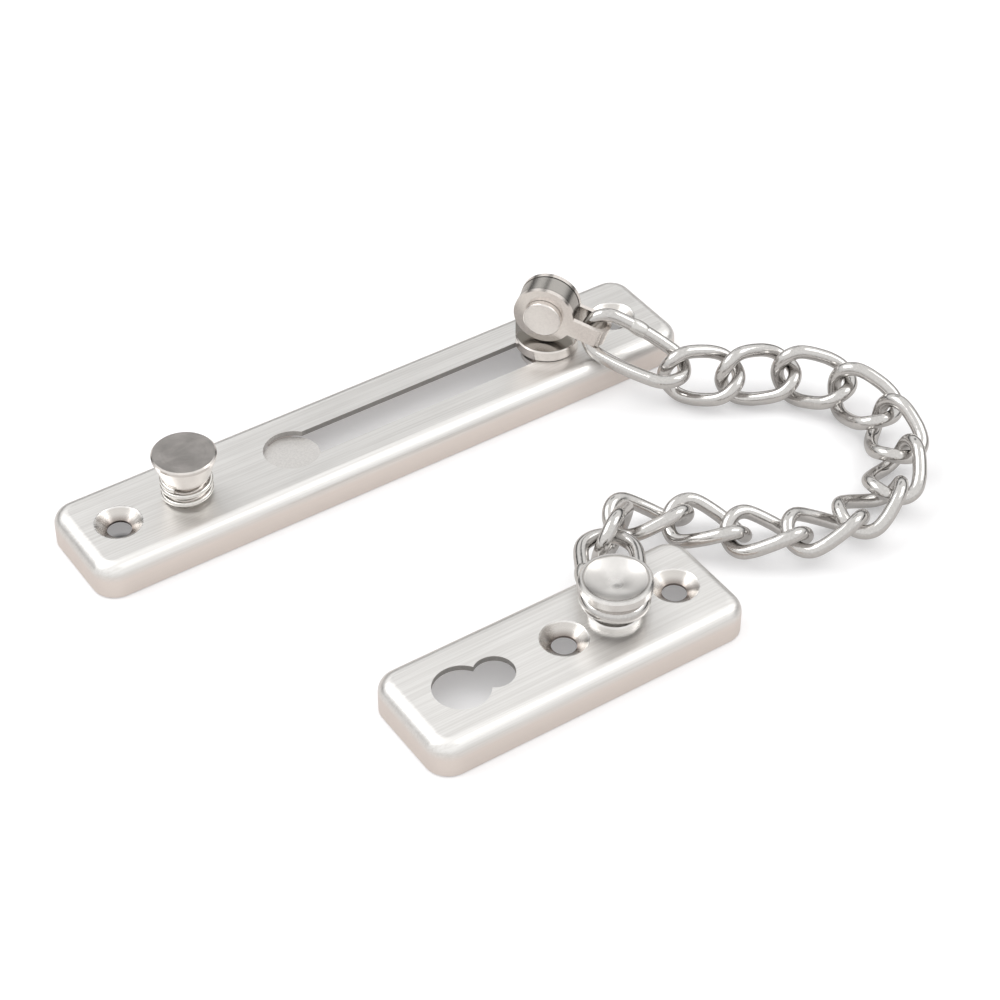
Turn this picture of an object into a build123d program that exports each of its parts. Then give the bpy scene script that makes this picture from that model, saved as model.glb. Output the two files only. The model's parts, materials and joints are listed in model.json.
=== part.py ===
from build123d import *
import math
import os

# Door chain guard: slotted track plate, keeper plate and a twisted-link chain.
# Origin: centre of the track plate's mounting face; X along the track, Z away from the door.

# Pressed cover plates (both plates share one press profile)
PLATE_W = 25.0
PLATE_H = 7.2
SHEET = 1.25
CORNER_R = 5.0
EDGE_R = 3.0
TRACK_L = 140.0
KEEPER_L = 71.0
KEEPER_X = -5.7
KEEPER_Y = -75.6

# Countersunk screw seats pressed into the sheet
SEAT_R = 4.8
SEAT_BORE_R = 2.5
SEAT_DEPTH = 2.3
SEAT_LAND = 0.5
TRACK_SEATS = (-59.9, 59.9)
KEEPER_SEATS = (-5.4, 20.5)

# Track slot with its entry hole, and the keyhole of the keeper
KNOB_X = -44.4
ENTRY_X = -20.3
ENTRY_R = 5.95
SLOT_HALF = 3.9
SLOT_END_X = 47.0
KEYHOLE_X = -28.4
KEYHOLE_R = 5.65
KEYHOLE_END_X = -21.2
KEYHOLE_END_R = 4.1

# Press knob with its spring and the catch tongue it carries under the plate
KNOB_TOP_R = 6.55
KNOB_RISE = 10.75
KNOB_SEAT = 5.15
KNOB_LOW_R = 4.9
KNOB_STEM_R = 3.9
KNOB_HOLE_R = 4.1
SPRING_WIRE = 1.1
SPRING_MEAN_R = 4.85
SPRING_TURNS = 2.25
TONGUE_T = 1.0
TONGUE_W = 9.0
TONGUE_END_R = 5.8

# Slider: retaining washer under the sheet, post through the slot, strap on a cross pin
SLIDER_X = 42.7
COLLAR_R = 6.7
COLLAR_T = 2.6
NECK_R = 3.5
WASHER_R = 5.6
WASHER_T = 1.2
WASHER_BORE_R = 2.2
SPIGOT_R = 2.12
LUG_T = 4.0
LUG_R = 6.4
PIN_RISE = 9.6
PIN_R = 1.8
PIN_HEAD_R = 4.1
PIN_HEAD_T = 1.4
STRAP_T = 1.0
STRAP_GAP = 4.4
STRAP_EYE_R = 6.5
STRAP_W = 4.2
STRAP_REACH = 14.0
STRAP_YAW = -50.0
STRAP_PITCH = -18.0

# Keeper stud
STUD_X = 6.25
STUD_HEAD_R = 7.15
STUD_RISE = 9.45
STUD_RIM = 1.95
STUD_DISH_DEPTH = 1.5
STUD_BALL_R = 13.5
STUD_UNDER = 5.6
STUD_NECK_R = 3.3
STUD_BASE_R = 5.2
STUD_BASE_T = 1.3
STUD_SHANK_R = 2.6

# Chain links: half length and half width of the wire's centre line, twist end to end
WIRE = 2.9
LINK_A = 7.9
LINK_B = 5.1
LINK_TWIST = 90.0
PITCH = 12.1
FIRST_A = 11.3
FIRST_B = 4.5
FIRST_TWIST = 80.0
LAST_WIRE = 3.0
LAST_A = 12.0
LAST_B = 5.5

# How the chain lies: a row, a bend of seven links and a row back to the keeper;
# the last three links climb to the stud (x, y, z, yaw, pitch, roll)
ROW_X = 64.2
ROW_Y = -26.3
ROW_YAW = -37.2
BENDS = (-12, 29, 29, 29, 28, 28, 27, 24, 15)
ROLL_FIRST = 55.0
ROLL_STEP = 5.5
LINK_12 = (29.18, -55.17, 5.37, -205.1, 5.1, 17.9)
LINK_13 = (18.9, -57.3, 7.5, -140.7, 28.0, -103.4)
LINK_14 = (9.8, -69.6, 10.8, 58.9, -3.4, 3.6)

os.makedirs("parts", exist_ok=True)
TOP = PLATE_H
UNDER = PLATE_H - SHEET


def save(part, name):
    part.label = name
    export_step(part, f"parts/{name}.step")


def pose(x, y, z, yaw, pitch, roll):
    """Place along a heading: yaw about Z, then nose up by pitch, then roll."""
    return Pos(x, y, z) * Rot(0, 0, yaw) * Rot(0, -pitch, 0) * Rot(roll, 0, 0)


def loop_point(half_len, half_wid, twist, turn):
    """A point of a twisted stadium, turn = 0 in the middle of one side, 1 after a full lap."""
    side = half_len - half_wid
    lap = 4 * side + 2 * math.pi * half_wid
    run = (turn * lap + side) % lap
    if run < 2 * side:
        x, y = run - side, -half_wid
    elif run < 2 * side + math.pi * half_wid:
        a = (run - 2 * side) / half_wid - math.pi / 2
        x, y = side + half_wid * math.cos(a), half_wid * math.sin(a)
    elif run < 4 * side + math.pi * half_wid:
        x, y = 3 * side + math.pi * half_wid - run, half_wid
    else:
        a = (run - 4 * side - math.pi * half_wid) / half_wid + math.pi / 2
        x, y = half_wid * math.cos(a) - side, half_wid * math.sin(a)
    lean = -math.radians(twist / 2) * x / half_len
    return Vector(x, y * math.cos(lean), y * math.sin(lean))


def link_solid(half_len, half_wid, twist, wire, steps=10):
    """Wire bent round the twisted stadium: one half swept, then turned end for end."""
    args = (half_len, half_wid, twist)
    stations = [loop_point(*args, 0.5 * k / steps) for k in range(steps + 1)]
    start = loop_point(*args, 0.001) - loop_point(*args, -0.001)
    end = loop_point(*args, 0.501) - loop_point(*args, 0.499)
    with BuildPart() as link:
        with BuildLine() as path:
            Spline(*stations, tangents=(start.normalized(), end.normalized()))
        with BuildSketch(Plane(origin=path.line @ 0, z_dir=path.line % 0)):
            Circle(wire / 2)
        sweep()
        with Locations(Rot(0, 0, 180)):
            add(link.part)
    return link.part


def lowest(half_len, half_wid, twist, roll):
    """How far the rolled link's centre line dips below its axis."""
    c, s = math.cos(math.radians(roll)), math.sin(math.radians(roll))
    ring = [loop_point(half_len, half_wid, twist, k / 120) for k in range(120)]
    return -min(p.Y * s + p.Z * c for p in ring)


# --- Track plate -------------------------------------------------------------
LOW_ALIGN = (Align.CENTER, Align.CENTER, Align.MIN)
HIGH_ALIGN = (Align.CENTER, Align.CENTER, Align.MAX)
CONE_DEPTH = SEAT_DEPTH - SEAT_LAND
BACKING = SEAT_DEPTH - SHEET + 0.3

with BuildPart() as track_plate:
    with BuildSketch():
        RectangleRounded(TRACK_L, PLATE_W, CORNER_R)
    extrude(amount=PLATE_H)
    fillet(track_plate.faces().sort_by(Axis.Z)[-1].edges(), EDGE_R)
    with BuildSketch():
        RectangleRounded(TRACK_L - 2 * SHEET, PLATE_W - 2 * SHEET, CORNER_R - SHEET)
    extrude(amount=UNDER, mode=Mode.SUBTRACT)
    ceiling = track_plate.faces().filter_by(Plane.XY).sort_by(Axis.Z)[-2]
    fillet(ceiling.edges(), EDGE_R - SHEET)
    with Locations(*[(x, 0, UNDER + 0.3) for x in TRACK_SEATS]):
        Cone(SEAT_BORE_R + 1.0, SEAT_R + 0.3, BACKING, align=HIGH_ALIGN)
    with Locations(*[(x, 0, TOP) for x in TRACK_SEATS]):
        Cone(SEAT_BORE_R, SEAT_R, CONE_DEPTH, align=HIGH_ALIGN, mode=Mode.SUBTRACT)
        Cylinder(SEAT_BORE_R, PLATE_H, align=HIGH_ALIGN, mode=Mode.SUBTRACT)
    with BuildSketch():
        with Locations(((ENTRY_X + SLOT_END_X) / 2, 0)):
            SlotCenterToCenter(SLOT_END_X - ENTRY_X, 2 * SLOT_HALF)
        with Locations((ENTRY_X, 0)):
            Circle(ENTRY_R)
        with Locations((KNOB_X, 0)):
            Circle(KNOB_HOLE_R)
    extrude(amount=PLATE_H, mode=Mode.SUBTRACT)
save(track_plate.part, "track_plate")

# --- Keeper plate: the same pressing, shorter, with a keyhole and the stud hole ---
with BuildPart() as keeper_plate:
    with BuildSketch():
        RectangleRounded(KEEPER_L, PLATE_W, CORNER_R)
    extrude(amount=PLATE_H)
    fillet(keeper_plate.faces().sort_by(Axis.Z)[-1].edges(), EDGE_R)
    with BuildSketch():
        RectangleRounded(KEEPER_L - 2 * SHEET, PLATE_W - 2 * SHEET, CORNER_R - SHEET)
    extrude(amount=UNDER, mode=Mode.SUBTRACT)
    ceiling = keeper_plate.faces().filter_by(Plane.XY).sort_by(Axis.Z)[-2]
    fillet(ceiling.edges(), EDGE_R - SHEET)
    with Locations(*[(x - KEEPER_X, 0, UNDER + 0.3) for x in KEEPER_SEATS]):
        Cone(SEAT_BORE_R + 1.0, SEAT_R + 0.3, BACKING, align=HIGH_ALIGN)
    with Locations(*[(x - KEEPER_X, 0, TOP) for x in KEEPER_SEATS]):
        Cone(SEAT_BORE_R, SEAT_R, CONE_DEPTH, align=HIGH_ALIGN, mode=Mode.SUBTRACT)
        Cylinder(SEAT_BORE_R, PLATE_H, align=HIGH_ALIGN, mode=Mode.SUBTRACT)
    with BuildSketch():
        with Locations((KEYHOLE_X - KEEPER_X, 0)):
            Circle(KEYHOLE_R)
        with Locations((KEYHOLE_END_X - KEEPER_X, 0)):
            Circle(KEYHOLE_END_R)
        with Locations((STUD_X - KEEPER_X, 0)):
            Circle(STUD_SHANK_R + 0.03)
    extrude(amount=PLATE_H, mode=Mode.SUBTRACT)
save(keeper_plate.part.moved(Pos(KEEPER_X, KEEPER_Y, 0)), "keeper_plate")

# --- Keeper stud: dished head, tapered underside, neck, base flange, riveted shank ---
with BuildPart() as keeper_stud:
    with BuildSketch(Plane.XZ.offset(-KEEPER_Y)):
        with BuildLine():
            Polyline(
                (STUD_X, UNDER - 1.0),
                (STUD_X + STUD_SHANK_R + 1.2, UNDER - 0.8),
                (STUD_X + STUD_SHANK_R + 1.2, UNDER),
                (STUD_X + STUD_SHANK_R, UNDER),
                (STUD_X + STUD_SHANK_R, TOP),
                (STUD_X + STUD_BASE_R, TOP),
                (STUD_X + STUD_BASE_R, TOP + STUD_BASE_T - 0.3),
                (STUD_X + STUD_BASE_R - 0.3, TOP + STUD_BASE_T),
                (STUD_X + STUD_NECK_R, TOP + STUD_BASE_T),
                (STUD_X + STUD_NECK_R, TOP + STUD_UNDER),
                (STUD_X + STUD_HEAD_R - 0.25, TOP + STUD_RISE - STUD_RIM - 0.2),
                (STUD_X + STUD_HEAD_R, TOP + STUD_RISE - STUD_RIM),
                (STUD_X + STUD_HEAD_R, TOP + STUD_RISE - 0.4),
                (STUD_X + STUD_HEAD_R - 0.4, TOP + STUD_RISE),
                (STUD_X, TOP + STUD_RISE),
                close=True,
            )
        make_face()
    revolve(axis=Axis((STUD_X, KEEPER_Y, 0), (0, 0, 1)))
    ball_z = TOP + STUD_RISE - STUD_DISH_DEPTH + STUD_BALL_R
    with Locations((STUD_X, KEEPER_Y, ball_z)):
        Sphere(STUD_BALL_R, mode=Mode.SUBTRACT)
save(keeper_stud.part, "keeper_stud")

# --- Press knob: tapered head, stem through the plate, peened end under the tongue ---
TONGUE_TOP = UNDER - 0.2
TONGUE_BORE_R = 2.6
with BuildPart() as knob:
    with BuildSketch(Plane.XZ):
        with BuildLine():
            Polyline(
                (KNOB_X, TONGUE_TOP - TONGUE_T - 0.8),
                (KNOB_X + TONGUE_BORE_R + 0.9, TONGUE_TOP - TONGUE_T - 0.6),
                (KNOB_X + TONGUE_BORE_R + 0.9, TONGUE_TOP - TONGUE_T),
                (KNOB_X + TONGUE_BORE_R, TONGUE_TOP - TONGUE_T),
                (KNOB_X + TONGUE_BORE_R, TONGUE_TOP),
                (KNOB_X + KNOB_STEM_R, TONGUE_TOP),
                (KNOB_X + KNOB_STEM_R, TOP + KNOB_SEAT),
                (KNOB_X + KNOB_LOW_R, TOP + KNOB_SEAT),
                (KNOB_X + KNOB_TOP_R, TOP + KNOB_RISE - 0.9),
                (KNOB_X + KNOB_TOP_R, TOP + KNOB_RISE - 0.3),
                (KNOB_X + KNOB_TOP_R - 0.3, TOP + KNOB_RISE),
                (KNOB_X, TOP + KNOB_RISE),
                close=True,
            )
        make_face()
    revolve(axis=Axis((KNOB_X, 0, 0), (0, 0, 1)))
save(knob.part, "knob")

# --- Catch tongue under the plate, from the knob to past the entry hole ---
with BuildPart() as tongue:
    with BuildSketch(Plane.XY.offset(TONGUE_TOP - TONGUE_T)):
        with Locations(((KNOB_X + ENTRY_X) / 2, 0)):
            Rectangle(ENTRY_X - KNOB_X, TONGUE_W)
        with Locations((ENTRY_X, 0)):
            Circle(TONGUE_END_R)
        with Locations((KNOB_X, 0)):
            Circle(TONGUE_W / 2)
            Circle(TONGUE_BORE_R + 0.03, mode=Mode.SUBTRACT)
    extrude(amount=TONGUE_T)
save(tongue.part, "tongue")

# --- Return spring between the plate and the knob head ---
SPRING_LOW = TOP + SPRING_WIRE / 2 + 0.05
SPRING_HIGH = TOP + KNOB_SEAT - SPRING_WIRE / 2 - 0.05
with BuildPart() as knob_spring:
    with BuildLine() as coil:
        Helix(
            pitch=(SPRING_HIGH - SPRING_LOW) / SPRING_TURNS,
            height=SPRING_HIGH - SPRING_LOW,
            radius=SPRING_MEAN_R,
            center=(KNOB_X, 0, SPRING_LOW),
        )
    with BuildSketch(Plane(origin=coil.line @ 0, z_dir=coil.line % 0)):
        Circle(SPRING_WIRE / 2)
    sweep(is_frenet=True)
save(knob_spring.part, "knob_spring")

# --- Retaining washer: runs under the sheet, wider than the slot ---
WASHER_TOP = UNDER - 0.25
with BuildPart() as retaining_washer:
    with BuildSketch(Plane.XY.offset(WASHER_TOP - WASHER_T)):
        with Locations((SLIDER_X, 0)):
            Circle(WASHER_R)
            Circle(WASHER_BORE_R, mode=Mode.SUBTRACT)
    extrude(amount=WASHER_T)
save(retaining_washer.part, "retaining_washer")

# --- Slider post: collar on the plate, round-topped lug milled flat on both sides ---
COLLAR_LOW = TOP + 0.1
SPIGOT_LOW = WASHER_TOP - WASHER_T - 0.75
PIN_Z = TOP + PIN_RISE
with BuildPart() as slider_post:
    with Locations((SLIDER_X, 0, COLLAR_LOW)):
        Cylinder(COLLAR_R, COLLAR_T, align=LOW_ALIGN)
    chamfer(slider_post.edges(), 0.3)
    with Locations((SLIDER_X, 0, WASHER_TOP + 0.05)):
        Cylinder(NECK_R, COLLAR_LOW - WASHER_TOP, align=LOW_ALIGN)
    with Locations((SLIDER_X, 0, SPIGOT_LOW)):
        Cylinder(SPIGOT_R, WASHER_TOP + 0.1 - SPIGOT_LOW, align=LOW_ALIGN)
        Cylinder(WASHER_BORE_R + 0.8, 0.65, align=LOW_ALIGN)
    with BuildSketch(Plane(origin=(SLIDER_X, 0, PIN_Z), x_dir=(1, 0, 0), z_dir=(0, -1, 0))):
        Circle(LUG_R)
        with Locations((0, (COLLAR_LOW + 1.0 - PIN_Z) / 2)):
            Rectangle(2 * LUG_R, PIN_Z - COLLAR_LOW - 1.0)
        Circle(PIN_R + 0.03, mode=Mode.SUBTRACT)
    extrude(amount=LUG_T / 2, both=True)
slider_turned = slider_post.part.rotate(Axis((SLIDER_X, 0, 0), (0, 0, 1)), STRAP_YAW)
save(slider_turned, "slider_post")

# --- Cross pin with a head outside each strap arm ---
STACK = STRAP_GAP / 2 + STRAP_T + 0.1
with BuildPart() as pivot_pin:
    with BuildSketch(Plane.XZ.offset(-STACK)):
        Circle(PIN_R)
    extrude(amount=2 * STACK)
    with BuildSketch(Plane.XZ.offset(STACK)):
        Circle(PIN_HEAD_R)
    extrude(amount=PIN_HEAD_T)
    fillet(pivot_pin.edges().group_by(Axis.Y)[0], 0.4)
    with BuildSketch(Plane.XZ.offset(-STACK)):
        Circle(PIN_HEAD_R - 0.8)
    extrude(amount=-PIN_HEAD_T / 2)
pin_placed = pivot_pin.part.moved(pose(SLIDER_X, 0, PIN_Z, STRAP_YAW, 0, 0))
save(pin_placed, "pivot_pin")

# --- Strap: two round eyes on the pin, arms joined by a bend that holds link 1 ---
BEND_R = STRAP_GAP / 2 + STRAP_T
with BuildPart() as strap:
    with BuildSketch(Plane.XY.offset(-STRAP_EYE_R)):
        with Locations((STRAP_REACH / 2 - BEND_R / 2 - STRAP_EYE_R / 2, 0)):
            Rectangle(STRAP_REACH - BEND_R + STRAP_EYE_R, 2 * BEND_R)
        with Locations((STRAP_REACH - BEND_R, 0)):
            Circle(BEND_R)
        with Locations((STRAP_REACH / 2 - BEND_R / 2 - STRAP_EYE_R / 2, 0)):
            Rectangle(STRAP_REACH - BEND_R + STRAP_EYE_R, STRAP_GAP, mode=Mode.SUBTRACT)
        with Locations((STRAP_REACH - BEND_R, 0)):
            Circle(STRAP_GAP / 2, mode=Mode.SUBTRACT)
    extrude(amount=2 * STRAP_EYE_R)
    with BuildSketch(Plane.XZ.offset(-2 * BEND_R)):
        Circle(STRAP_EYE_R)
        with Locations((STRAP_REACH / 2, 0)):
            Rectangle(STRAP_REACH, STRAP_W)
        Circle(PIN_R + 0.15, mode=Mode.SUBTRACT)
    extrude(amount=4 * BEND_R, mode=Mode.INTERSECT)
strap_placed = strap.part.moved(pose(SLIDER_X, 0, PIN_Z, STRAP_YAW, STRAP_PITCH, 0))
save(strap_placed, "strap")

# --- Chain: link 1 in the strap, links 2 to 12 twisted, 13 plain, 14 round the stud ---
first = link_solid(FIRST_A, FIRST_B, FIRST_TWIST, WIRE)
save(first.moved(pose(54.3, -16.1, 10.7, -58.0, -16.0, 37.0)), "link_01")

curb = link_solid(LINK_A, LINK_B, LINK_TWIST, WIRE)
x, y, yaw = ROW_X, ROW_Y, ROW_YAW
for i in range(len(BENDS) + 1):
    if i:
        x += PITCH / 2 * math.cos(math.radians(yaw))
        y += PITCH / 2 * math.sin(math.radians(yaw))
        yaw -= BENDS[i - 1]
        x += PITCH / 2 * math.cos(math.radians(yaw))
        y += PITCH / 2 * math.sin(math.radians(yaw))
    roll = ROLL_FIRST - ROLL_STEP * i
    z = WIRE / 2 + 0.05 + lowest(LINK_A, LINK_B, LINK_TWIST, roll)
    save(curb.moved(pose(x, y, z, yaw, 0, roll)), f"link_{i + 2:02d}")
save(curb.moved(pose(*LINK_12)), "link_12")

plain = link_solid(LINK_A, LINK_B, 0, WIRE)
save(plain.moved(pose(*LINK_13)), "link_13")

last = link_solid(LAST_A, LAST_B, 0, LAST_WIRE)
save(last.moved(pose(*LINK_14)), "link_14")
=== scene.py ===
import json
import math

import bpy
from mathutils import Matrix, Vector


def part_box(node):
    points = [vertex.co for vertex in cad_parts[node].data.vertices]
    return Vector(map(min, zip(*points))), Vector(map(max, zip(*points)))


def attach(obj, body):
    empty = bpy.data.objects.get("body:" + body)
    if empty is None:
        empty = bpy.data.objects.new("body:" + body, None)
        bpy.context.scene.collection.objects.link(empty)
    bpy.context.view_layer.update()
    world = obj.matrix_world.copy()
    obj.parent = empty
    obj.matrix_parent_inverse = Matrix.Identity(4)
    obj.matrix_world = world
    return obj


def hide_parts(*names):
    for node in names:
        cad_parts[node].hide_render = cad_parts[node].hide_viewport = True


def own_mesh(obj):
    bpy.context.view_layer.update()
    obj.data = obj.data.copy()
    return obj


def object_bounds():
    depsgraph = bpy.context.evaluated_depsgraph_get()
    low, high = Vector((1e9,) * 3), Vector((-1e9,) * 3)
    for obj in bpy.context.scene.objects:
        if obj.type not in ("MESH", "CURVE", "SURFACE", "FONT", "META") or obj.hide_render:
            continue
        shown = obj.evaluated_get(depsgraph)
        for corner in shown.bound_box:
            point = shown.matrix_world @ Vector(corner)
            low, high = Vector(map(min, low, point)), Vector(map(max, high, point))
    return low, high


MM = 0.001
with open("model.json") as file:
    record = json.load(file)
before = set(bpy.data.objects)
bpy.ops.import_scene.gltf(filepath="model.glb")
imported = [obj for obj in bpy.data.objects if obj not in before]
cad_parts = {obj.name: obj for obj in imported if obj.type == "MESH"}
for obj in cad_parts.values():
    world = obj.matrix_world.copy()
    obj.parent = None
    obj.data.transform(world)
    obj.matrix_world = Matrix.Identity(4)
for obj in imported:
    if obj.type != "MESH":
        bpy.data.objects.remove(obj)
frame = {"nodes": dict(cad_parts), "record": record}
cad_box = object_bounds()
scene = bpy.context.scene


# --- Sizes taken from the CAD frame -----------------------------------------
def centre(node):
    low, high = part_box(node)
    return (Vector(low) + Vector(high)) / 2


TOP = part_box("track_plate")[1][2]
KNOB = centre("knob")
STUD = centre("keeper_stud")
KEEPER = centre("keeper_plate")
POST = centre("retaining_washer")

# Heights above the plates' top face, and radii, of the CAD features that get their own finish,
# painted shade and painted reflections
COLLAR_TOP = TOP + 2.7 * MM
DISH_LOW = TOP + 7.6 * MM
DISH_R = 6.18 * MM
SEAT_R = 4.95 * MM
EDGE_TOP, EDGE_LOW = TOP - 1.4 * MM, TOP - 3.6 * MM


# --- Node material helpers ---------------------------------------------------
class Nodes:
    """A thin wrapper that adds and wires shader nodes."""

    def __init__(self, tree):
        self.tree = tree
        tree.nodes.clear()

    def put(self, socket, value):
        if isinstance(value, bpy.types.NodeSocket):
            self.tree.links.new(value, socket)
        else:
            socket.default_value = value

    def math(self, operation, a, b=0.0, c=0.0):
        node = self.tree.nodes.new("ShaderNodeMath")
        node.operation = operation
        for socket, value in zip(node.inputs, (a, b, c)):
            self.put(socket, value)
        return node.outputs[0]

    def coords(self):
        return self.tree.nodes.new("ShaderNodeTexCoord").outputs["Object"]

    def split(self, vector):
        node = self.tree.nodes.new("ShaderNodeSeparateXYZ")
        self.put(node.inputs[0], vector)
        return node.outputs

    def stretch(self, vector, scale):
        node = self.tree.nodes.new("ShaderNodeVectorMath")
        node.operation = "MULTIPLY"
        self.put(node.inputs[0], vector)
        node.inputs[1].default_value = scale
        return node.outputs[0]

    def noise(self, vector, scale, detail=3.0, roughness=0.55):
        node = self.tree.nodes.new("ShaderNodeTexNoise")
        self.put(node.inputs["Vector"], vector)
        node.inputs["Scale"].default_value = scale
        node.inputs["Detail"].default_value = detail
        node.inputs["Roughness"].default_value = roughness
        return node.outputs["Fac"]

    def ramp(self, value, low, high, start=0.0, end=1.0):
        node = self.tree.nodes.new("ShaderNodeMapRange")
        node.interpolation_type = "SMOOTHSTEP"
        self.put(node.inputs["Value"], value)
        for name, number in (
            ("From Min", low),
            ("From Max", high),
            ("To Min", start),
            ("To Max", end),
        ):
            self.put(node.inputs[name], number)
        return node.outputs["Result"]

    def blend(self, factor, a, b):
        node = self.tree.nodes.new("ShaderNodeMix")
        node.data_type = "RGBA"
        self.put(node.inputs["Factor"], factor)
        self.put(node.inputs["A"], (*a, 1.0) if isinstance(a, tuple) else a)
        self.put(node.inputs["B"], (*b, 1.0) if isinstance(b, tuple) else b)
        return node.outputs["Result"]

    def bump(self, height, distance, strength=1.0, normal=None):
        node = self.tree.nodes.new("ShaderNodeBump")
        self.put(node.inputs["Height"], height)
        node.inputs["Distance"].default_value = distance
        node.inputs["Strength"].default_value = strength
        if normal is not None:
            self.put(node.inputs["Normal"], normal)
        return node.outputs["Normal"]

    def near(self, position, spot, radius, soft):
        """1 within radius of a vertical line through spot, fading to 0 over soft."""
        x, y, _ = self.split(position)
        dx = self.math("SUBTRACT", x, spot.x)
        dy = self.math("SUBTRACT", y, spot.y)
        square = self.math("ADD", self.math("MULTIPLY", dx, dx), self.math("MULTIPLY", dy, dy))
        return self.ramp(self.math("SQRT", square), radius - soft, radius + soft, 1.0, 0.0)

    def metal(self, color, rough, normal, aniso=0.0, tangent=None):
        shader = self.tree.nodes.new("ShaderNodeBsdfPrincipled")
        self.put(shader.inputs["Base Color"], (*color, 1.0) if isinstance(color, tuple) else color)
        shader.inputs["Metallic"].default_value = 1.0
        self.put(shader.inputs["Roughness"], rough)
        self.put(shader.inputs["Normal"], normal)
        shader.inputs["Anisotropic"].default_value = aniso
        if tangent is not None:
            self.put(shader.inputs["Tangent"], tangent)
        out = self.tree.nodes.new("ShaderNodeOutputMaterial")
        self.tree.links.new(shader.outputs[0], out.inputs["Surface"])
        return shader


def new_material(name):
    material = bpy.data.materials.new(name)
    material.use_nodes = True
    return material, Nodes(material.node_tree)


def assign(node, material):
    mesh = frame["nodes"][node]
    if not mesh.material_slots:
        mesh.data.materials.append(material)
    for slot in mesh.material_slots:
        slot.link = "OBJECT"
        slot.material = material


# --- Plates: satin steel brushed lengthwise, polished seats with painted shade, sides with a painted warm reflection, sheared slot walls ---
def plate_material(name, seats, sheared):
    """seats: centres of the polished countersinks; sheared: (low x, high x, half width, y)."""
    material, n = new_material(name)
    at = n.coords()
    streaks = n.noise(n.stretch(at, (35.0, 2600.0, 2600.0)), 1.0, 4.0, 0.6)
    fine = n.noise(n.stretch(at, (160.0, 7000.0, 7000.0)), 1.0, 2.0, 0.5)
    patch = n.noise(at, 55.0, 3.0)
    rough = n.math("MULTIPLY_ADD", streaks, 0.14, 0.25)
    rough = n.math("MULTIPLY_ADD", patch, 0.07, rough)
    seat_polish_and_shade = None
    for spot in seats:
        mask = n.near(at, spot, SEAT_R, 0.08 * MM)
        seat_polish_and_shade = mask if seat_polish_and_shade is None else n.math("MAXIMUM", seat_polish_and_shade, mask)
    x, y, z = n.split(at)
    # Slot wall: inside the slot's outline and below the rim of the top face
    low_x, high_x, half, row_y = sheared
    past_low = n.ramp(x, low_x - 0.1 * MM, low_x)
    before_high = n.ramp(x, high_x, high_x + 0.1 * MM, 1.0, 0.0)
    inside_x = n.math("MULTIPLY", past_low, before_high)
    across = n.math("ABSOLUTE", n.math("SUBTRACT", y, row_y))
    inside = n.math("MULTIPLY", inside_x, n.ramp(across, half, half + 0.1 * MM, 1.0, 0.0))
    below = n.ramp(z, TOP - 0.14 * MM, TOP - 0.02 * MM, 1.0, 0.0)
    wall = n.math("MULTIPLY", inside, below)
    grit = n.noise(n.stretch(at, (2600.0, 2600.0, 500.0)), 1.0, 4.0, 0.7)
    rough = n.math("MULTIPLY_ADD", seat_polish_and_shade, -0.10, rough)
    rough = n.math("MULTIPLY_ADD", n.math("MULTIPLY", wall, grit), 0.45, rough)
    color = n.blend(n.ramp(streaks, 0.25, 0.75), (0.80, 0.785, 0.765), (0.92, 0.91, 0.895))
    # The turned-down sides carry a painted warm reflection, warmer in tone than the brushed top
    side = n.ramp(z, EDGE_LOW, EDGE_TOP, 0.85, 0.0)
    color = n.blend(side, color, (0.93, 0.85, 0.80))
    # Polished seats with painted shade, darker towards the bore
    for deep, start, tone in (
        (0.3 * MM, 0.1 * MM, (0.66, 0.63, 0.60)),
        (2.0 * MM, 0.8 * MM, (0.24, 0.20, 0.18)),
    ):
        painted_seat_shade = n.math("MULTIPLY", seat_polish_and_shade, n.ramp(z, TOP - deep, TOP - start, 0.9, 0.0))
        color = n.blend(painted_seat_shade, color, tone)
    color = n.blend(n.math("MULTIPLY", wall, 0.75), color, (0.34, 0.33, 0.32))
    height = n.math("ADD", streaks, n.math("MULTIPLY", fine, 0.5))
    height = n.math("MULTIPLY", height, n.math("SUBTRACT", 1.0, seat_polish_and_shade))
    normal = n.bump(height, 0.012 * MM, 0.55)
    normal = n.bump(n.math("MULTIPLY", wall, grit), 0.12 * MM, 0.8, normal)
    along = n.tree.nodes.new("ShaderNodeCombineXYZ")
    along.inputs[0].default_value = 1.0
    n.metal(color, rough, normal, 0.45, along.outputs[0])
    return material


TRACK_BOLTS = next(m for m in frame["record"]["mounts"] if m["name"] == "track_screws")
KEEPER_BOLTS = next(m for m in frame["record"]["mounts"] if m["name"] == "keeper_screws")


def bolt_spots(mount):
    mid = Vector(mount["pos_m"])
    half = Vector((mount["dims"]["spacing_x_mm"] * MM / 2, 0, 0))
    return mid - half, mid + half


SLOT_START = KNOB.x + 24.1 * MM
assign(
    "track_plate",
    plate_material(
        "track_steel",
        bolt_spots(TRACK_BOLTS),
        (SLOT_START - 6.1 * MM, POST.x + 8.3 * MM, 6.2 * MM, 0.0),
    ),
)
assign(
    "keeper_plate",
    plate_material(
        "keeper_steel",
        bolt_spots(KEEPER_BOLTS),
        (KEEPER.x - 28.6 * MM, KEEPER.x - 11.2 * MM, 5.8 * MM, KEEPER.y),
    ),
)


# --- Turned and polished fittings ---------------------------------------------
ACROSS_VIEW = (0.832, -0.555)  # level direction that runs left to right for the camera


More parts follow.
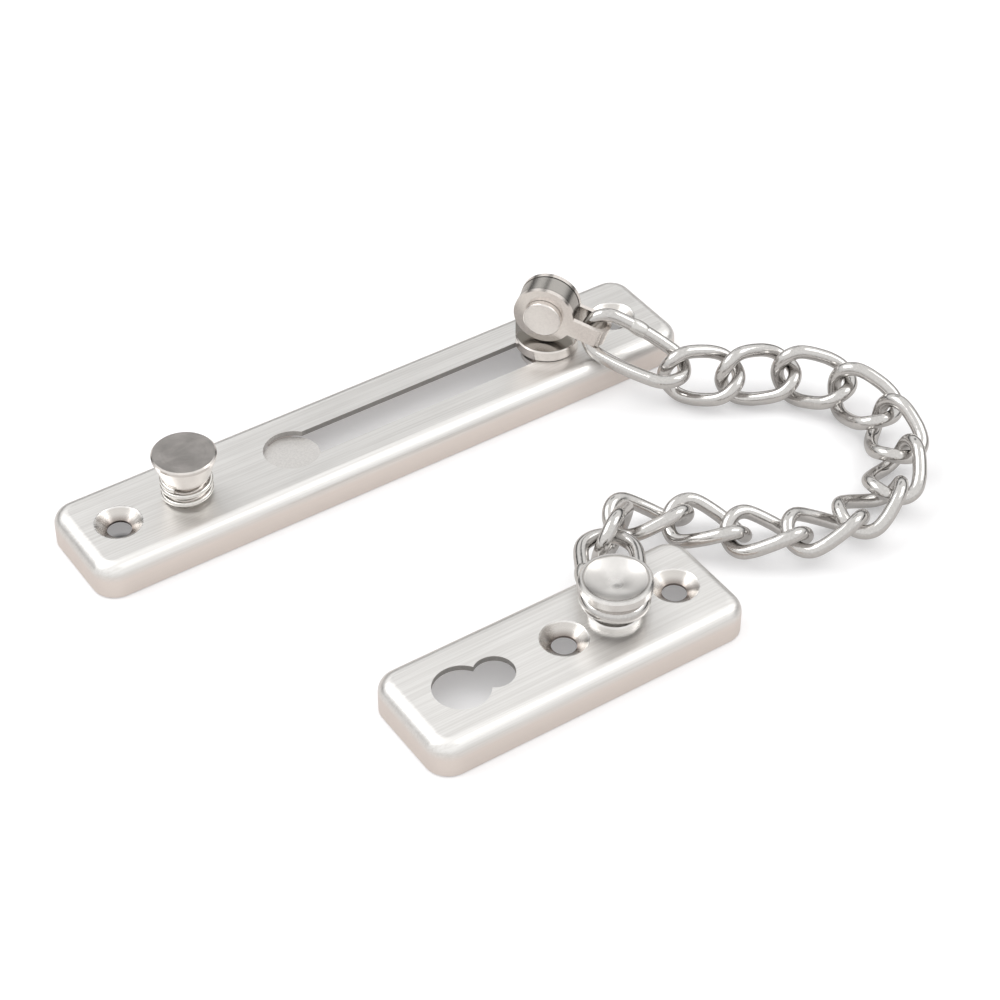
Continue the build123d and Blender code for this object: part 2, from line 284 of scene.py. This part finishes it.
def turned_material(
    name, axis_at, warm=0.0, base_rough=0.13, ring=0.10, painted_dark_above=None, bowl=None
):
    """Turned metal with rings round a vertical axis, painted darker reflection above a height, and
    in a dish a duller finish with painted grey fans and a painted dark edge line.
    """
    material, n = new_material(name)
    at = n.coords()
    x, y, z = n.split(at)
    dx = n.math("SUBTRACT", x, axis_at.x)
    dy = n.math("SUBTRACT", y, axis_at.y)
    radius = n.math("SQRT", n.math("ADD", n.math("MULTIPLY", dx, dx), n.math("MULTIPLY", dy, dy)))
    lathe = n.tree.nodes.new("ShaderNodeCombineXYZ")
    n.put(lathe.inputs[0], radius)
    n.put(lathe.inputs[1], z)
    rings = n.noise(n.stretch(lathe.outputs[0], (5200.0, 5200.0, 1.0)), 1.0, 2.0, 0.6)
    haze = n.noise(at, 260.0, 3.0)
    rough = n.math("MULTIPLY_ADD", rings, ring, base_rough)
    rough = n.math("MULTIPLY_ADD", haze, 0.05, rough)
    cool, tinted = (0.84, 0.83, 0.815), (0.82, 0.76, 0.72)
    mid = tuple(c + (t - c) * warm for c, t in zip(cool, tinted))
    dark = tuple(0.88 * c for c in mid)
    color = n.blend(n.ramp(haze, 0.3, 0.7), dark, mid)
    if painted_dark_above is not None:
        # Painted darker reflection on the part above this height
        painted_dark_top = n.ramp(z, painted_dark_above - 0.1 * MM, painted_dark_above, 0.0, 0.9)
        color = n.blend(painted_dark_top, color, (0.42, 0.405, 0.38))
    if bowl is not None:
        # Painted reflection: two grey fans across the dish; painted shade: a dark line where it
        # meets the rim
        across_x, across_y = ACROSS_VIEW
        painted_fan = n.math("MULTIPLY_ADD", dy, across_y, n.math("MULTIPLY", dx, across_x))
        painted_fan = n.math("DIVIDE", painted_fan, n.math("MAXIMUM", radius, 0.1 * MM))
        painted_fan = n.ramp(n.math("MULTIPLY", painted_fan, painted_fan), 0.15, 0.85)
        inside = n.math(
            "MULTIPLY",
            n.ramp(radius, 0.4 * MM, 2.2 * MM),
            n.ramp(radius, bowl - 0.5 * MM, bowl, 1.0, 0.0),
        )
        high = n.ramp(z, DISH_LOW, DISH_LOW + 0.2 * MM)
        painted_fan = n.math("MULTIPLY", n.math("MULTIPLY", painted_fan, inside), high)
        color = n.blend(n.math("MULTIPLY", painted_fan, 0.6), color, (0.52, 0.505, 0.49))
        painted_edge_shade = n.math("ABSOLUTE", n.math("SUBTRACT", radius, bowl))
        painted_edge_shade = n.math("MULTIPLY", n.ramp(painted_edge_shade, 0.08 * MM, 0.34 * MM, 0.7, 0.0), high)
        color = n.blend(painted_edge_shade, color, (0.36, 0.34, 0.32))
        rough = n.math("MULTIPLY_ADD", inside, 0.10, rough)
    normal = n.bump(rings, 0.0015 * MM, 0.4)
    n.metal(color, rough, normal)
    return material


def polished_material(name, color=(0.80, 0.79, 0.77), base_rough=0.10, dents=0.25):
    """Tumbled bright wire: low roughness, faint dents and draw marks."""
    material, n = new_material(name)
    at = n.coords()
    soft = n.noise(at, 420.0, 2.0)
    marks = n.noise(at, 2300.0, 4.0, 0.7)
    rough = n.math("MULTIPLY_ADD", marks, 0.08, base_rough)
    dark = tuple(0.90 * c for c in color)
    tone = n.blend(n.ramp(marks, 0.35, 0.65), dark, color)
    normal = n.bump(soft, 0.035 * MM, dents)
    normal = n.bump(marks, 0.001 * MM, 0.2, normal)
    n.metal(tone, rough, normal)
    return material


assign("knob", turned_material("knob_nickel", KNOB, warm=0.6, base_rough=0.15, ring=0.05))
assign(
    "keeper_stud",
    turned_material("stud_polish", STUD, warm=0.15, base_rough=0.16, ring=0.05, bowl=DISH_R),
)
assign(
    "slider_post",
    turned_material("post_nickel", POST, warm=0.7, base_rough=0.16, painted_dark_above=COLLAR_TOP),
)
assign("strap", polished_material("strap_nickel", (0.85, 0.80, 0.76), 0.18, 0.06))
assign("pivot_pin", polished_material("pin_nickel", (0.88, 0.84, 0.81), 0.20, 0.06))
inner = polished_material("inner_steel", (0.84, 0.82, 0.80), 0.34, 0.15)
assign("tongue", inner)
assign("retaining_washer", inner)
chain_metal = polished_material("chain_steel", (0.665, 0.65, 0.635), 0.10, 0.05)
for number in range(1, 15):
    assign(f"link_{number:02d}", chain_metal)


# --- Return spring, modelled as a coil with closed ends ------------------------
def tube(name, points, radius, sides=20, closed=False):
    """A round wire along points, as a mesh."""
    count = len(points)
    verts, faces = [], []
    side = None
    for i, point in enumerate(points):
        ahead = points[(i + 1) % count] if closed or i + 1 < count else point
        back = points[i - 1] if closed or i > 0 else point
        along = (ahead - back).normalized()
        if side is None:
            side = along.orthogonal().normalized()
        side = (side - side.dot(along) * along).normalized()
        up = along.cross(side)
        r = radius(i / max(1, count - 1)) if callable(radius) else radius
        for k in range(sides):
            a = 2 * math.pi * k / sides
            verts.append(point + r * (math.cos(a) * side + math.sin(a) * up))
    for i in range(count if closed else count - 1):
        for k in range(sides):
            a, b = i * sides + k, i * sides + (k + 1) % sides
            c = ((i + 1) % count) * sides + (k + 1) % sides
            d = ((i + 1) % count) * sides + k
            faces.append((a, b, c, d))
    if not closed:
        faces.append(tuple(reversed(range(sides))))
        faces.append(tuple((count - 1) * sides + k for k in range(sides)))
    mesh = bpy.data.meshes.new(name)
    mesh.from_pydata(verts, [], faces)
    mesh.update()
    for polygon in mesh.polygons:
        polygon.use_smooth = len(polygon.vertices) == 4
    made = bpy.data.objects.new(name, mesh)
    scene.collection.objects.link(made)
    return made


spring_low, spring_high = (Vector(v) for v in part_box("knob_spring"))
WIRE_R = 0.55 * MM
coil_r = (spring_high.x - spring_low.x) / 2 - WIRE_R
TURNS = 2.6
coil = []
STEPS = 220
for i in range(STEPS + 1):
    t = i / STEPS
    # closed ends: little rise over the first and last half turn
    free = min(1.0, max(0.0, (t * TURNS - 0.5) / (TURNS - 1.0)))
    rise = 0.1 * min(1.0, t * TURNS / 0.5) + 0.8 * free
    rise += 0.1 * max(0.0, (t * TURNS - TURNS + 0.5) / 0.5)
    a = 2 * math.pi * TURNS * t
    z = spring_low.z + WIRE_R + rise * (spring_high.z - spring_low.z - 2 * WIRE_R)
    coil.append(Vector((KNOB.x + coil_r * math.cos(a), KNOB.y + coil_r * math.sin(a), z)))
spring = tube("return_spring", coil, WIRE_R)
spring.data.materials.append(polished_material("spring_wire", (0.82, 0.80, 0.77), 0.14, 0.05))
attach(spring, "track")
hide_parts("knob_spring")
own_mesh(spring)


# --- Weld beads where the two large links close ---------------------------------
def loop_point(half_len, half_wid, twist, turn):
    """Centre line of a twisted link, as in the CAD: turn 0 in the middle of one side."""
    side = half_len - half_wid
    lap = 4 * side + 2 * math.pi * half_wid
    run = (turn * lap + side) % lap
    if run < 2 * side:
        x, y = run - side, -half_wid
    elif run < 2 * side + math.pi * half_wid:
        a = (run - 2 * side) / half_wid - math.pi / 2
        x, y = side + half_wid * math.cos(a), half_wid * math.sin(a)
    elif run < 4 * side + math.pi * half_wid:
        x, y = 3 * side + math.pi * half_wid - run, half_wid
    else:
        a = (run - 4 * side - math.pi * half_wid) / half_wid + math.pi / 2
        x, y = half_wid * math.cos(a) - side, half_wid * math.sin(a)
    lean = -math.radians(twist / 2) * x / half_len
    return Vector((x, y * math.cos(lean), y * math.sin(lean))) * MM


def placed(x, y, z, yaw, pitch, roll):
    turn = Matrix.Rotation(math.radians(yaw), 4, "Z")
    turn = turn @ Matrix.Rotation(math.radians(-pitch), 4, "Y")
    turn = turn @ Matrix.Rotation(math.radians(roll), 4, "X")
    return Matrix.Translation(Vector((x, y, z)) * MM) @ turn


def weld(name, body, place, link, turn, wire_r):
    """A low bead round the wire, centred at one turn of the link."""
    half = 1.5 / (4 * link[0])
    points = [place @ loop_point(*link, turn + half * (k / 6 - 1)) for k in range(13)]
    bead = tube(
        name,
        points,
        lambda t: (wire_r - 0.06 + 0.30 * math.sin(math.pi * t) ** 0.7) * MM,
        sides=28,
    )
    bead.data.materials.append(polished_material(name + "_metal", (0.72, 0.71, 0.69), 0.2, 0.6))
    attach(bead, body)
    return bead


# The two links' places and (half length, half width, twist), as in the CAD
FIRST_AT = placed(54.3, -16.1, 10.7, -58.0, -16.0, 37.0)
LAST_AT = placed(9.8, -69.6, 10.8, 58.9, -3.4, 3.6)
weld("weld_first", "link_01", FIRST_AT, (11.3, 4.5, 80.0), 0.53, 1.45)
weld("weld_last", "link_14", LAST_AT, (12.0, 5.5, 0.0), 0.5, 1.5)


# --- Studio: pale floor, soft light, dark cards for the reflections --------------
floor_mesh = bpy.data.meshes.new("floor")
REACH = 6.0
corners = [(-REACH, -REACH, 0), (REACH, -REACH, 0), (REACH, REACH, 0), (-REACH, REACH, 0)]
floor_mesh.from_pydata(corners, [], [(0, 1, 2, 3)])
floor = bpy.data.objects.new("floor", floor_mesh)
floor.location.z = cad_box[0][2] - 0.05 * MM
scene.collection.objects.link(floor)
floor_paint = bpy.data.materials.new("floor_paint")
floor_paint.use_nodes = True
f = Nodes(floor_paint.node_tree)
on_floor = f.coords()
# Bright paper with painted shade straight below the track's screw holes, where little light
# reaches: darker colour and less glow there
lit = None
for spot in bolt_spots(TRACK_BOLTS):
    spot_lit = f.math("SUBTRACT", 1.0, f.near(on_floor, spot, 4.5 * MM, 1.0 * MM))
    lit = spot_lit if lit is None else f.math("MULTIPLY", lit, spot_lit)
paint = f.tree.nodes.new("ShaderNodeBsdfPrincipled")
# Painted reflection: mirrored in the metal, the paper is given a darker colour than the camera
# sees
mirrored = f.tree.nodes.new("ShaderNodeLightPath").outputs["Is Glossy Ray"]
paper_and_painted_reflection = f.blend(mirrored, (0.80, 0.80, 0.81), (0.44, 0.42, 0.405))
f.put(paint.inputs["Base Color"], f.blend(lit, (0.12, 0.12, 0.13), paper_and_painted_reflection))
paint.inputs["Roughness"].default_value = 0.9
paint.inputs["Emission Color"].default_value = (0.99, 0.99, 1, 1)
f.put(paint.inputs["Emission Strength"], f.math("MULTIPLY_ADD", lit, 0.20, 0.02))
floor_out = f.tree.nodes.new("ShaderNodeOutputMaterial")
f.tree.links.new(paint.outputs[0], floor_out.inputs["Surface"])
floor_mesh.materials.append(floor_paint)

AIM = Vector((10.82, -29.66, 0.0)) * MM


def softbox(name, place, size, power, tint=(1, 1, 1)):
    light = bpy.data.lights.new(name, "AREA")
    light.shape = "RECTANGLE"
    light.size, light.size_y = size
    light.energy = power
    light.color = tint
    lamp = bpy.data.objects.new(name, light)
    lamp.location = Vector(place)
    lamp.rotation_euler = (AIM - lamp.location).to_track_quat("-Z", "Y").to_euler()
    scene.collection.objects.link(lamp)
    return lamp


softbox("key", (-0.55, 0.55, 1.05), (0.9, 0.7), 4.5)
softbox("fill", (0.75, -0.35, 0.9), (0.6, 0.6), 2.0, (1.0, 0.99, 0.97))

# World: a bright dome over a dark horizon, with two small grey cards
world = bpy.data.worlds.new("studio")
scene.world = world
world.use_nodes = True
w = Nodes(world.node_tree)
direction = world.node_tree.nodes.new("ShaderNodeTexCoord").outputs["Generated"]
_, _, height = w.split(direction)


def toward(vector, target):
    node = world.node_tree.nodes.new("ShaderNodeVectorMath")
    node.operation = "DOT_PRODUCT"
    w.put(node.inputs[0], vector)
    node.inputs[1].default_value = Vector(target).normalized()
    return node.outputs["Value"]


DOME_BRIGHT, HORIZON_DARK, HORIZON_FRONT, CARD_GREY = 1.0, 0.04, 0.80, 0.13
# The horizon is dark behind the part and pale on the camera's side
facing = toward(direction, (-0.555, -0.832, 0.0))
low = w.ramp(facing, -0.25, 0.25, HORIZON_DARK, HORIZON_FRONT)
dome = w.ramp(height, 0.10, 0.42, low, DOME_BRIGHT)
# Two grey cards: where the knob's flat top and where the slider's crown mirror the dome
for card_at in ((0.291, 0.703, 0.649), (0.47, 0.649, 0.60)):
    card = w.ramp(toward(direction, card_at), 0.9925, 0.998, 1.0, CARD_GREY)
    dome = w.math("MULTIPLY", dome, card)
# The camera itself sees plain white behind the part
seen = world.node_tree.nodes.new("ShaderNodeLightPath").outputs["Is Camera Ray"]
dome = w.math("MAXIMUM", dome, seen)
background = world.node_tree.nodes.new("ShaderNodeBackground")
background.inputs["Color"].default_value = (1.0, 0.995, 0.985, 1)
w.put(background.inputs["Strength"], dome)
world_out = world.node_tree.nodes.new("ShaderNodeOutputWorld")
world.node_tree.links.new(background.outputs[0], world_out.inputs["Surface"])

# --- Camera -------------------------------------------------------------------
camera = bpy.data.objects.new("camera", bpy.data.cameras.new("camera"))
camera.data.lens = 92.8
camera.data.sensor_width = 36.0
camera.data.clip_start = 0.01
camera.data.clip_end = 20.0
camera.location = Vector((-207.14, -355.54, 348.38)) * MM
camera.rotation_euler = (AIM - camera.location).to_track_quat("-Z", "Y").to_euler()
scene.collection.objects.link(camera)
scene.camera = camera
scene.view_settings.view_transform = "Standard"
